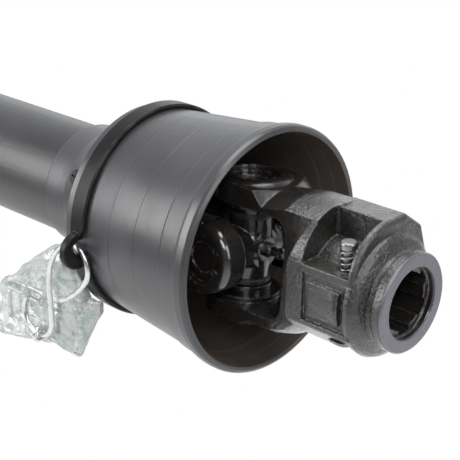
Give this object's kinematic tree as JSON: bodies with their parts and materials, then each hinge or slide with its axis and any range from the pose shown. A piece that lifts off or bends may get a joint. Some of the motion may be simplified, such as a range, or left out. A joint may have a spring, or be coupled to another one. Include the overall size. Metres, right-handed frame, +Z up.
{
  "type": "universal joint shaft",
  "caption": "Telescoping drive shaft with a universal joint and splined quick-release yoke at each end, inside a plastic guard with flared bells and guard chains.",
  "frame": {"origin": "centre of the near hub's nose face, on the spline bore's axis", "axes": "+X out of the near hub along the shaft, +Z up along the near push pin, +Y to the shaft's left when looking along +X"},
  "size_m": [0.72, 0.1424, 0.1458],
  "materials": {
    "black_forging_paint": "gloss black paint over a rough forging",
    "dark_forged_steel": "dark oiled forging",
    "bearing_steel": "ground bearing steel",
    "bright_steel": "turned steel",
    "spring_steel": "phosphated spring steel",
    "drawn_steel": "drawn profile tube, greased",
    "zinc_plate": "bright zinc plate",
    "guard_plastic": "satin moulded plastic",
    "ring_plastic": "satin moulded plastic, darker",
    "tube_plastic": "satin extruded plastic",
    "grey_nylon": "natural grey nylon",
    "seal_rubber": "moulded rubber"
  },
  "bodies": {
    "near_outer_yoke": {"near_outer_yoke": "black_forging_paint", "near_cups_outer": "bearing_steel", "near_snap_rings_outer": "spring_steel", "near_push_pin_spring": "spring_steel"},
    "near_push_pin": {"near_push_pin": "bright_steel", "near_pin_retainer": "spring_steel"},
    "near_cross": {"near_cross": "dark_forged_steel", "near_grease_nipple": "zinc_plate", "near_trunnion_seals": "seal_rubber", "near_rollers_outer": "bearing_steel", "near_rollers_inner": "bearing_steel"},
    "near_shaft": {"near_inner_yoke": "black_forging_paint", "near_cups_inner": "bearing_steel", "near_snap_rings_inner": "spring_steel", "near_profile_tube": "drawn_steel", "near_yoke_spring_pin": "spring_steel"},
    "near_guard": {"near_guard_bell": "guard_plastic", "near_guard_chain_ring": "ring_plastic", "near_guard_base": "guard_plastic", "near_guard_tube": "tube_plastic", "near_guard_screws": "zinc_plate", "near_guard_bearing": "grey_nylon"},
    "near_s_hook": {"near_s_hook": "zinc_plate"},
    "near_guard_chain": {"near_guard_chain": "zinc_plate"},
    "far_outer_yoke": {"far_outer_yoke": "black_forging_paint", "far_cups_outer": "bearing_steel", "far_snap_rings_outer": "spring_steel", "far_push_pin_spring": "spring_steel"},
    "far_push_pin": {"far_push_pin": "bright_steel", "far_pin_retainer": "spring_steel"},
    "far_cross": {"far_cross": "dark_forged_steel", "far_grease_nipple": "zinc_plate", "far_trunnion_seals": "seal_rubber", "far_rollers_outer": "bearing_steel", "far_rollers_inner": "bearing_steel"},
    "far_shaft": {"far_inner_yoke": "black_forging_paint", "far_cups_inner": "bearing_steel", "far_snap_rings_inner": "spring_steel", "far_profile_tube": "drawn_steel", "far_yoke_spring_pin": "spring_steel"},
    "far_guard": {"far_guard_bell": "guard_plastic", "far_guard_chain_ring": "ring_plastic", "far_guard_base": "guard_plastic", "far_guard_tube": "tube_plastic", "far_guard_screws": "zinc_plate", "far_guard_bearing": "grey_nylon"},
    "far_s_hook": {"far_s_hook": "zinc_plate"},
    "far_guard_chain": {"far_guard_chain": "zinc_plate"}
  },
  "joints": [
    {"name": "near_fork_swing_sideways", "type": "hinge", "parent": "near_outer_yoke", "child": "near_cross", "pos_m": [-0.105, 0, 0], "axis": [0, 0.0872, 0.9962], "range_deg": [-25, 25]},
    {"name": "near_fork_swing_up_down", "type": "hinge", "parent": "near_cross", "child": "near_shaft", "pos_m": [-0.105, 0, 0], "axis": [0, 0.9962, -0.0872], "range_deg": [-25, 25]},
    {"name": "near_push_pin_press", "type": "slide", "parent": "near_outer_yoke", "child": "near_push_pin", "axis": [0, 0, 1], "range_m": [-0.01, 0], "stiffness_N_per_m": 900, "springref_m": 0.006, "deforming": ["near_push_pin_spring"]},
    {"name": "near_guard_spin", "type": "hinge", "parent": "near_shaft", "child": "near_guard", "pos_m": [-0.156, 0, 0], "axis": [1, 0, 0], "continuous": true},
    {"name": "near_s_hook_swing", "type": "hinge", "parent": "near_guard", "child": "near_s_hook", "pos_m": [-0.1735, -0.05975, -0.00518], "axis": [0, 1, 0], "range_deg": [-10, 7]},
    {"name": "near_chain_swing", "type": "hinge", "parent": "near_s_hook", "child": "near_guard_chain", "pos_m": [-0.21243, -0.05975, -0.07033], "axis": [0, 1, 0], "range_deg": [-12, 12]},
    {"name": "shaft_telescope", "type": "slide", "parent": "near_shaft", "child": "far_shaft", "axis": [-1, 0, 0], "range_m": [0, 0.15]},
    {"name": "far_fork_swing_up_down", "type": "hinge", "parent": "far_shaft", "child": "far_cross", "pos_m": [-0.615, 0, 0], "axis": [0, 0.9962, -0.0872], "range_deg": [-25, 25]},
    {"name": "far_fork_swing_sideways", "type": "hinge", "parent": "far_cross", "child": "far_outer_yoke", "pos_m": [-0.615, 0, 0], "axis": [0, 0.0872, 0.9962], "range_deg": [-25, 25]},
    {"name": "far_push_pin_press", "type": "slide", "parent": "far_outer_yoke", "child": "far_push_pin", "axis": [0, 0, 1], "range_m": [-0.01, 0], "stiffness_N_per_m": 900, "springref_m": 0.006, "deforming": ["far_push_pin_spring"]},
    {"name": "far_guard_spin", "type": "hinge", "parent": "far_shaft", "child": "far_guard", "pos_m": [-0.564, 0, 0], "axis": [1, 0, 0], "continuous": true},
    {"name": "far_s_hook_swing", "type": "hinge", "parent": "far_guard", "child": "far_s_hook", "pos_m": [-0.5465, 0.05975, -0.00518], "axis": [0, 1, 0], "range_deg": [-7, 10]},
    {"name": "far_chain_swing", "type": "hinge", "parent": "far_s_hook", "child": "far_guard_chain", "pos_m": [-0.50757, 0.05975, -0.07033], "axis": [0, 1, 0], "range_deg": [-12, 12]}
  ]
}
